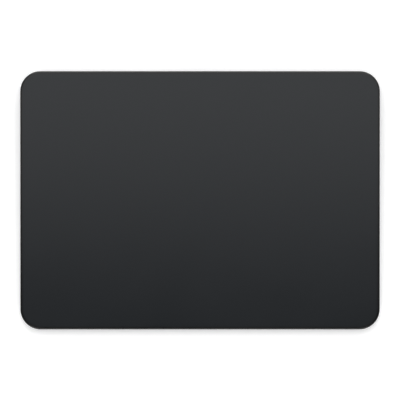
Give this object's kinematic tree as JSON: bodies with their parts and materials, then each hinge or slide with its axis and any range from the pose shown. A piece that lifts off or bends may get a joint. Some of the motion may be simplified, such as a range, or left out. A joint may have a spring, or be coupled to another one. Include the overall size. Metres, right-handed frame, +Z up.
{
  "type": "trackpad",
  "caption": "Slim wedge-shaped wireless trackpad: a black glass touch surface floating over a shallow aluminium tray, with a pressable deck, charging socket and power switch.",
  "frame": {"origin": "on the desk, under the middle of the outline", "axes": "+Z up from the desk, +Y towards the rear wall with the socket, +X to the right of the person using it"},
  "size_m": [0.16, 0.115, 0.0109],
  "materials": {
    "black_glass": "satin etched sheet over black ink, opaque",
    "tray_aluminium": "fine bead-blasted and anodised",
    "cover_aluminium": "plain matte sheet",
    "foot_rubber": "matte grey",
    "seal_foam": "matte black soft foam",
    "pad_gel": "cloudy soft gel",
    "film_adhesive": "thin black adhesive film",
    "circuit_board": "solder-masked glass-fibre board",
    "chip_resin": "moulded black resin",
    "ceramic": "fired ceramic with tinned ends",
    "connector_plastic": "moulded cream plastic",
    "flex_film": "amber polyimide film with copper tracks",
    "gauge_film": "amber film with a foil grid",
    "plain_steel": "nickel-plated",
    "spring_steel": "rolled stainless strip",
    "magnet_iron": "stacked electrical steel",
    "copper_wire": "enamelled copper winding",
    "gold_plate": "gold-plated",
    "battery_foil": "laminated aluminium pouch foil",
    "tongue_plastic": "black glass-filled plastic",
    "knob_plastic": "silver-grey moulded plastic",
    "switch_plastic": "black moulded plastic",
    "on_green": "printed green film"
  },
  "bodies": {
    "base": {"enclosure": "tray_aluminium", "rim_seal": "seal_foam", "bottom_cover": "cover_aluminium", "cover_adhesive": "film_adhesive", "foot_front_left": "foot_rubber", "foot_front_right": "foot_rubber", "foot_rear_left": "foot_rubber", "foot_rear_right": "foot_rubber", "sensor_flex": "flex_film", "flexure_front_left": "spring_steel", "flexure_front_right": "spring_steel", "flexure_rear_left": "spring_steel", "flexure_rear_right": "spring_steel", "strain_gauges": "gauge_film", "gauge_harness_left": "flex_film", "gauge_harness_right": "flex_film", "flexure_screws": "plain_steel", "floor_screws": "plain_steel", "main_board": "circuit_board", "radio_shield": "plain_steel", "chip_antenna": "ceramic", "microcontroller": "chip_resin", "haptic_driver": "chip_resin", "charge_controller": "chip_resin", "power_inductor": "magnet_iron", "board_capacitors": "ceramic", "board_sockets": "connector_plastic", "usb_shell": "plain_steel", "usb_tongue": "tongue_plastic", "usb_contacts": "gold_plate", "usb_bracket": "plain_steel", "switch_housing": "switch_plastic", "battery_pouch": "battery_foil", "battery_adhesive": "film_adhesive", "protection_board": "circuit_board", "protection_chips": "chip_resin", "battery_lead": "flex_film", "haptic_core": "magnet_iron", "haptic_coil_1": "copper_wire", "haptic_coil_2": "copper_wire", "haptic_coil_3": "copper_wire", "haptic_coil_4": "copper_wire", "haptic_bracket": "plain_steel", "haptic_lead": "flex_film"},
    "power_switch": {"switch_knob": "knob_plastic", "switch_carrier": "switch_plastic", "switch_on_flag": "on_green", "switch_actuator": "switch_plastic"},
    "press_carriage": {"gel_pad_front_left": "pad_gel", "gel_pad_front_right": "pad_gel", "gel_pad_rear_left": "pad_gel", "gel_pad_rear_right": "pad_gel"},
    "touch_deck": {"top_glass": "black_glass", "glass_adhesive": "film_adhesive", "sensor_board": "circuit_board", "touch_controller": "chip_resin", "attractor_mount": "plain_steel", "attractor_bar": "magnet_iron"}
  },
  "joints": [
    {"name": "power_switch", "type": "slide", "parent": "base", "child": "power_switch", "axis": [-1, 0, 0], "range_m": [0, 0.0025]},
    {"name": "surface_press", "type": "slide", "parent": "base", "child": "press_carriage", "axis": [0, 0.0521, -0.9986], "range_m": [0, 0.00015], "stiffness_N_per_m": 8000, "springref_m": -0.0003, "deforming": ["flexure_front_left", "flexure_front_right", "flexure_rear_left", "flexure_rear_right", "strain_gauges", "sensor_flex"]},
    {"name": "haptic_shift", "type": "slide", "parent": "press_carriage", "child": "touch_deck", "axis": [0, 0.9986, 0.0521], "range_m": [-0.00015, 0.00015], "stiffness_N_per_m": 8000, "deforming": ["sensor_flex"]}
  ]
}
